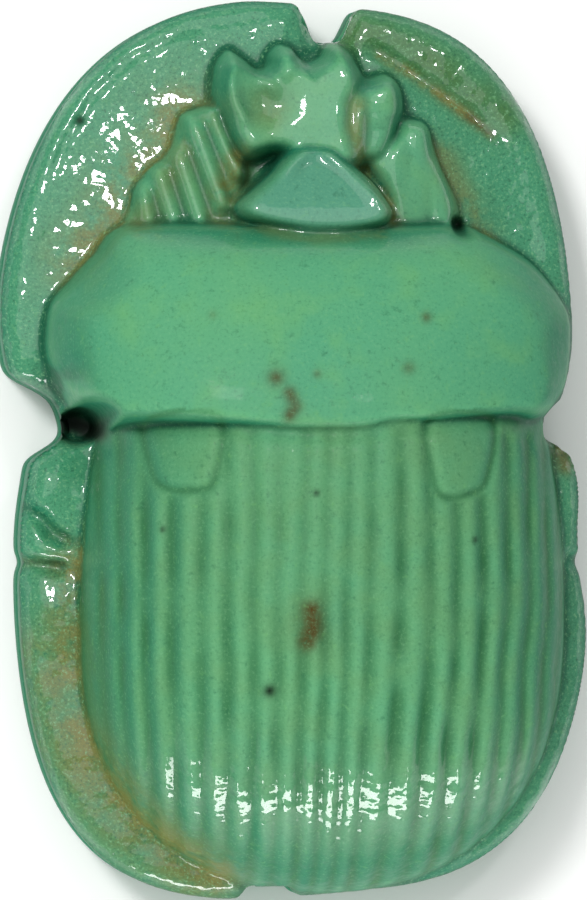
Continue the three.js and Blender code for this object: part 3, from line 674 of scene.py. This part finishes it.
def makeScarab():
    # the grid, then rings down the side and in under the foot to its middle, fitted to the solid's box
    grid = gatherOnSlopes(topGrid())
    top, forms = heights(grid)
    melted = spread(top[..., 2], skin["melt"])
    top[1:-1, 1:-1, 2] = melted[1:-1, 1:-1]
    n, m = grid.shape[:2]
    index = np.arange(n * m).reshape(n, m)
    quads = np.stack((index[:-1, :-1], index[1:, :-1], index[1:, 1:], index[:-1, 1:]), axis=-1).reshape(-1, 4)
    points = top.reshape(-1, 3)
    loop = np.concatenate((index[:-1, 0], index[-1, :-1], index[:0:-1, -1], index[0, :0:-1]))
    rings = footRings(points[loop, :2], points[loop, 2])
    allPoints, before, faces = [points], loop, [quads]
    total = len(points)
    for ring in rings:
        here = total + np.arange(len(loop))
        faces.append(np.stack((before, here, np.roll(here, -1), np.roll(before, -1)), axis=-1))
        allPoints.append(ring)
        before, total = here, total + len(loop)
    allPoints.append(np.zeros((1, 3)))
    faces = [tuple(face) for face in np.concatenate(faces).tolist()]
    faces += [(a, total, b) for a, b in zip(before.tolist(), np.roll(before, -1).tolist())]
    points = np.concatenate(allPoints)
    rest = len(points) - n * m         # points of the foot

    def withFoot(values, below):       # the values of the top's points, and one value for all of the foot's
        return np.concatenate((np.asarray(values).reshape(-1), np.full(rest, float(below))))

    drops = skin["drops"] + skin["lumps"] * withFoot(forms["lumpy"], 0)
    hand = grain(points, skin["handSize"], 11) * skin["handWork"]
    hand = hand + grain(points, skin["dropSize"], 12) * drops
    points[:, 2] += hand * smoothStep(points[:, 2] / skin["handFade"])
    lowest, highest = points.min(axis=0), points.max(axis=0)
    points = low + (points - lowest) * (high - low) / (highest - lowest)
    scarab = meshObject("scarab", points * mm, faces)
    for name, values, below in shapeMarks(top, forms):
        setValues(scarab.data, name, withFoot(values, below))
    for name, marks in stains.items():
        values = np.zeros(len(points))
        for mark in marks:
            gap, _ = nearPath(points[:, 0], points[:, 1], mark["path"])
            values = np.maximum(values, mark["amount"] * bell(gap / mark["width"], mark.get("square", 2)))
        if name == "deposit":
            values *= 1 - shade["mattDeposit"] * withFoot(forms["matt"], 0)
        setValues(scarab.data, name, values * smoothStep((points[:, 2] - shade["stainZ"]) / shade["stainFade"]))
    drillHole(scarab)
    return scarab


def cellSizes(top):              # area of the cell about each point of the grid, seen from above
    a, b = np.gradient(top[..., 0]), np.gradient(top[..., 1])
    return a[0] * b[1] - a[1] * b[0]


# marks in the glaze, with painted shade in the deep pockets: how strong, along which line and how wide

stains = dict(
    deposit=[
        dict(path=[(-2.6, 7.5), (-3.2, 6.6), (-3.75, 5.9), (-4.2, 5.0), (-4.8, 4.2)], width=0.75, amount=0.9),
        dict(path=[(-3.6, 6.6), (-4.2, 5.6)], width=0.6, amount=0.4),
        dict(path=[(-1.42, 6.4), (-1.5, 6.0), (-1.7, 5.7)], width=0.32, amount=1.0),
        dict(path=[(-1.9, 5.2), (-1.6, 4.95)], width=0.25, amount=0.5),
        dict(path=[(1.2, 7.6), (1.15, 7.1), (1.3, 6.5), (1.6, 6.0), (1.95, 5.5), (2.05, 5.15)],
             width=0.22, amount=0.7),
        dict(path=[(3.2, 6.6), (3.6, 5.8), (4.2, 4.8)], width=0.35, amount=0.6),
        dict(path=[(1.9, 8.75), (2.5, 8.4), (3.1, 7.97), (3.9, 7.38), (4.3, 7.05)], width=0.14, amount=1.0),
        dict(path=[(-4.95, -2.4), (-5.05, -3.3), (-5.0, -4.7), (-4.9, -5.8), (-4.5, -7.0), (-3.7, -8.1),
                   (-2.8, -8.95), (-1.8, -9.5)], width=0.5, amount=1.0),
        dict(path=[(-5.5, -4.5), (-5.2, -6.4), (-4.4, -7.7), (-3.4, -8.7), (-2.1, -9.5)],
             width=0.6, amount=0.7),
        dict(path=[(-5.3, -2.5), (-6.3, -2.4)], width=0.2, amount=0.35),
        dict(path=[(5.9, 0.1), (6.0, -0.35)], width=0.2, amount=0.9),
        dict(path=[(-0.7, 7.5)], width=0.45, amount=0.35),
        dict(path=[(-1.3, 4.95), (0.0, 4.6), (1.7, 4.75)], width=0.15, amount=0.35)],
    rust=[
        dict(path=[(-0.05, -3.5), (-0.01, -3.88), (-0.12, -4.15)], width=0.25, amount=1.0),
        dict(path=[(-0.05, -3.8)], width=0.6, amount=0.3),
        dict(path=[(-0.82, 1.57)], width=0.2, amount=0.8),
        dict(path=[(-0.55, 1.25), (-0.42, 0.95), (-0.55, 0.75)], width=0.16, amount=0.8),
        dict(path=[(2.53, 2.9)], width=0.12, amount=0.7),
        dict(path=[(2.09, 1.79)], width=0.15, amount=0.5),
        dict(path=[(0.07, 1.66)], width=0.1, amount=0.5),
        dict(path=[(-2.16, 2.95)], width=0.1, amount=0.3),
        dict(path=[(3.9, 7.4), (4.35, 7.0)], width=0.12, amount=0.6)],
    pitsAndPocketShade=[
        dict(path=[(-0.93, -5.26)], width=0.14, amount=1.0),
        dict(path=[(0.04, -0.94)], width=0.08, amount=0.8),
        dict(path=[(-3.22, -1.74)], width=0.07, amount=0.8),
        dict(path=[(3.59, -1.96)], width=0.07, amount=0.8),
        dict(path=[(-4.79, 7.3)], width=0.12, amount=1.0),
        # painted shade: the carved pockets, black where they lie in shadow; the marks above are the glaze's
        # pits
        dict(path=[(3.6, 5.0)], width=0.14, amount=1.0),
        dict(path=[(-5.15, 0.5), (-4.85, 0.6), (-4.5, 0.42)], width=0.27, amount=1.0, square=4),
        dict(path=[(5.75, 0.4)], width=0.16, amount=0.7)],
    olive=[
        dict(path=[(1.3, 9.3), (2.6, 8.95), (3.6, 8.2), (4.6, 7.4)], width=0.55, amount=1.0),
        dict(path=[(-5.2, -4.0), (-5.0, -6.2), (-3.9, -8.2), (-2.3, -9.4)], width=0.7, amount=0.7),
        dict(path=[(-0.8, 7.6)], width=0.5, amount=0.6)],
)

scarab = makeScarab()
print("scarab", len(scarab.data.vertices), "points", len(scarab.data.polygons), "faces")


glaze = dict(                    # linear colours; sizes of the noises and heights of the bumps in metres
    top=(0.098, 0.335, 0.158), blue=(0.075, 0.315, 0.168), yellow=(0.135, 0.37, 0.125),
    # slope: a darker colour for steep places, partly thicker glaze and partly painted shade
    slope=(0.01, 0.165, 0.085), pool=(0.008, 0.085, 0.042), fan=(0.065, 0.26, 0.165),
    band=(0.04, 0.235, 0.118), wing=(0.1, 0.28, 0.122), brown=(0.15, 0.155, 0.038),
    # furrow: darker in the ridges' valleys, and a painted shadow along the seam of wing cases and legs
    furrowAndSeamShadow=(0.03, 0.14, 0.05), rust=(0.06, 0.038, 0.006), olive=(0.05, 0.15, 0.038),
    # dark: the black of the glaze's pits, and painted shade in the deep pockets
    dark=(0.003, 0.01, 0.005), pale=(0.18, 0.42, 0.21),
    broadSize=0.0035, mediumSize=0.0009, fineSize=0.00022, dustSize=0.00007, crust=0.6,
    roughness=(0.3, 0.7, 0.42, 0.6), coatRoughness=0.06, mattCoat=(0, 1, 1.0, 0.02),
    steepCoat=(0.3, 0.9, 1, 0.1), pitCoat=(0, 0.5, 1, 0), specular=0.1,
    lumpSize=0.0008, lumpHeight=(0, 1, 0.00001, 0.00011),
    speckSize=0.00016, speckHeight=(0, 1, 0.000003, 0.000009),
)
# colour, the mark or noise that lays it on and its span, then what breaks it up and its span
glazeLayers = [
    ("top", "broad", (0.35, 0.65, 0, 1), None, None),
    ("yellow", "medium", (0.5, 0.8, 0, 0.5), None, None),
    ("wing", "wing", None, "medium", (0.3, 0.7, 0.35, 1.0)),
    ("band", "band", (0, 1, 0, 0.85), None, None),
    ("fan", "fan", (0, 1, 0, 0.9), None, None),
    # painted shade, partly thicker glaze: the slope colour on steep places
    ("slope", "steepShade", (0, 1, 0, 0.9), None, None),
    # darker pooled glaze in the hollows, eased on the neck's front as painted light where the light falls
    ("pool", "fineHollow", (0.05, 0.9, 0, 0.75), None, None),
    ("pool", "hollow", (0.15, 1, 0, 0.4), None, None),
    ("pale", "fineHollow", (-0.1, -1, 0, 0.25), None, None),
    # darker in the ridges' valleys, and painted shadow along the seam where the wing cases meet the legs
    ("furrowAndSeamShadow", "valley", None, "medium", (0.3, 0.7, 0.75, 0.45)),
    ("olive", "olive", None, "medium", (0.3, 0.6, 0.6, 1)),
    ("brown", "deposit", None, "crust", (0.55, 0.88, 0, 1)),
    ("rust", "rust", None, "fine", (0.3, 0.6, 0.75, 1.05)),
    ("yellow", "fine", (0.6, 0.8, 0, 0.4), None, None),
    ("pool", "fine", (0.4, 0.24, 0, 0.4), None, None),
    ("pale", "dust", (0.55, 0.72, 0, 1), "band", (0, 1, 0.25, 0.6)),       # the bands are more speckled
    ("pool", "dust", (0.45, 0.28, 0, 1), "band", (0, 1, 0.25, 0.6)),
    # black at the glaze's pits, and painted shade in the deep pockets beside the legs
    ("dark", "pitsAndPocketShade", None, None, None),
]


def glazeMaterial():
    # layers of colour over the blue, some painted shade among them, a matt body and a clear coat, which is thin
    # where matt, steep, pitted or in the painted pocket shade
    material = bpy.data.materials.new("blueGreenGlaze")
    material.use_nodes = True
    tree = material.node_tree
    shader = tree.nodes["Principled BSDF"]
    place = tree.nodes.new("ShaderNodeTexCoord").outputs["Object"]

    def put(source, target):
        if isinstance(source, (int, float)):
            target.default_value = source
        elif isinstance(source, tuple):
            target.default_value = (*source, 1)
        else:
            tree.links.new(source, target)

    def noise(size, detail=2.0, rough=0.5):
        texture = tree.nodes.new("ShaderNodeTexNoise")
        for key, number in (("Scale", 1 / size), ("Detail", detail), ("Roughness", rough), ("Vector", place)):
            put(number, texture.inputs[key])
        return texture.outputs["Fac"]

    def math(operation, a, b):
        step = tree.nodes.new("ShaderNodeMath")
        step.operation = operation
        put(a, step.inputs[0])
        put(b, step.inputs[1])
        return step.outputs[0]

    def span(source, start, end, low, high):         # from start to end, to low to high, and no further
        ramp = tree.nodes.new("ShaderNodeMapRange")
        keys = ("Value", "From Min", "From Max", "To Min", "To Max")
        for key, number in zip(keys, (source, start, end, low, high)):
            put(number, ramp.inputs[key])
        return ramp.outputs[0]

    def blend(amount, a, b):
        step = tree.nodes.new("ShaderNodeMix")
        step.data_type = "RGBA"
        for key, part in (("Factor", amount), ("A", a), ("B", b)):
            put(part, step.inputs[key])
        return step.outputs["Result"]

    noises = dict(
        broad=noise(glaze["broadSize"]), medium=noise(glaze["mediumSize"], 3),
        fine=noise(glaze["fineSize"], 3, 0.65), dust=noise(glaze["dustSize"], 2, 0.7))
    noises["crust"] = math("ADD", noises["medium"], math("MULTIPLY", noises["fine"], glaze["crust"]))

    def value(name):         # a noise, or what the mesh says at each point
        if name in noises:
            return noises[name]
        attribute = tree.nodes.new("ShaderNodeAttribute")
        attribute.attribute_name = name
        return attribute.outputs["Fac"]

    def bump(height, distance, normal=None):
        step = tree.nodes.new("ShaderNodeBump")
        put(height, step.inputs["Height"])
        put(distance, step.inputs["Distance"])
        if normal:
            put(normal, step.inputs["Normal"])
        return step.outputs[0]

    colour = glaze["blue"]
    for name, mark, limits, breaker, breakerLimits in glazeLayers:
        amount = span(value(mark), *limits) if limits else value(mark)
        if breaker:
            amount = math("MULTIPLY", amount, span(value(breaker), *breakerLimits))
        colour = blend(amount, colour, glaze[name])
    put(colour, shader.inputs["Base Color"])
    put(span(value("fine"), *glaze["roughness"]), shader.inputs["Roughness"])
    put(glaze["specular"], shader.inputs["Specular IOR Level"])
    coat = math("MULTIPLY", span(value("matt"), *glaze["mattCoat"]), span(value("steepShade"), *glaze["steepCoat"]))
    put(math("MULTIPLY", coat, span(value("pitsAndPocketShade"), *glaze["pitCoat"])), shader.inputs["Coat Weight"])
    put(glaze["coatRoughness"], shader.inputs["Coat Roughness"])
    lumps = bump(noise(glaze["lumpSize"]), span(value("lumpy"), *glaze["lumpHeight"]))
    specks = bump(noise(glaze["speckSize"], 1.0), span(value("lumpy"), *glaze["speckHeight"]), lumps)
    put(specks, shader.inputs["Normal"])
    put(specks, shader.inputs["Coat Normal"])
    return material


scarab.data.materials.append(glazeMaterial())
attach(scarab, "root")
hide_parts("scarab_amulet")
print("glaze", len(glazeLayers), "layers")


# floor, lights and camera: light sizes, distances and the floor in metres, the camera's in millimetres

studio = dict(
    floorSize=0.6, floorColour=(0.93, 0.93, 0.92, 1), floorRoughness=0.7, room=0.36,
    tilt=0.08, distance=300.0, frameHeight=20.16, aimX=0.19, aimY=0.0, sensor=36.0, clip=(0.001, 10),
)
lights = dict(
    tailSoftbox=dict(direction=(0.0, -1.0, 0.16), distance=0.25, across=0.25, along=0.045, power=0.5),
    foreSoftbox=dict(direction=(-0.36, 0.36, 1.0), distance=0.35, across=0.062, along=0.05, power=0.56),
    rightSoftbox=dict(direction=(0.22, 0.42, 1.0), distance=0.35, across=0.03, along=0.025, power=0.11),
    overheadSoftbox=dict(direction=(-0.3, 0.3, 1.0), distance=0.6, across=0.7, along=0.7, power=1.75),
)


def makeFloor():
    half = studio["floorSize"] / 2
    corners = [(-half, -half, 0), (half, -half, 0), (half, half, 0), (-half, half, 0)]
    floor = meshObject("floor", corners, [(0, 1, 2, 3)])
    material = bpy.data.materials.new("paleFloor")
    material.use_nodes = True
    shader = material.node_tree.nodes["Principled BSDF"]
    shader.inputs["Base Color"].default_value = studio["floorColour"]
    shader.inputs["Roughness"].default_value = studio["floorRoughness"]
    floor.data.materials.append(material)


def facing(way):
    # turns an object's z axis to the way, with its y axis as near to the scene's as it can be
    across = Vector((0, 1, 0)).cross(way).normalized()
    return Matrix((across, way.cross(across), way)).transposed().to_euler()


def makeLight(name, direction, distance, across, along, power):
    light = bpy.data.lights.new(name, "AREA")
    light.shape = "RECTANGLE"
    light.size, light.size_y = across, along
    light.energy = power
    lamp = bpy.data.objects.new(name, light)
    bpy.context.collection.objects.link(lamp)
    way = Vector(direction).normalized()
    lamp.location = way * distance
    lamp.rotation_euler = facing(way)


def makeCamera():                # looks down the tilted way at the aim, with frameHeight filling the picture
    camera = bpy.data.objects.new("camera", bpy.data.cameras.new("camera"))
    bpy.context.collection.objects.link(camera)
    way = Vector((-studio["tilt"], 0, 1)).normalized()
    target = Vector((studio["aimX"], studio["aimY"], 0)) * mm
    camera.location = target + way * studio["distance"] * mm
    camera.rotation_euler = facing(way)
    camera.data.sensor_width = studio["sensor"]
    camera.data.lens = studio["sensor"] * studio["distance"] / studio["frameHeight"]
    camera.data.clip_start, camera.data.clip_end = studio["clip"]
    bpy.context.scene.camera = camera


makeFloor()
for lightName, values in lights.items():
    makeLight(lightName, **values)
makeCamera()
world = bpy.data.worlds.new("paleRoom")
world.use_nodes = True
world.node_tree.nodes["Background"].inputs["Color"].default_value = (1, 1, 1, 1)
world.node_tree.nodes["Background"].inputs["Strength"].default_value = studio["room"]
bpy.context.scene.world = world
bpy.context.scene.view_settings.view_transform = "Standard"
print("floor, camera and", len(lights), "lights")
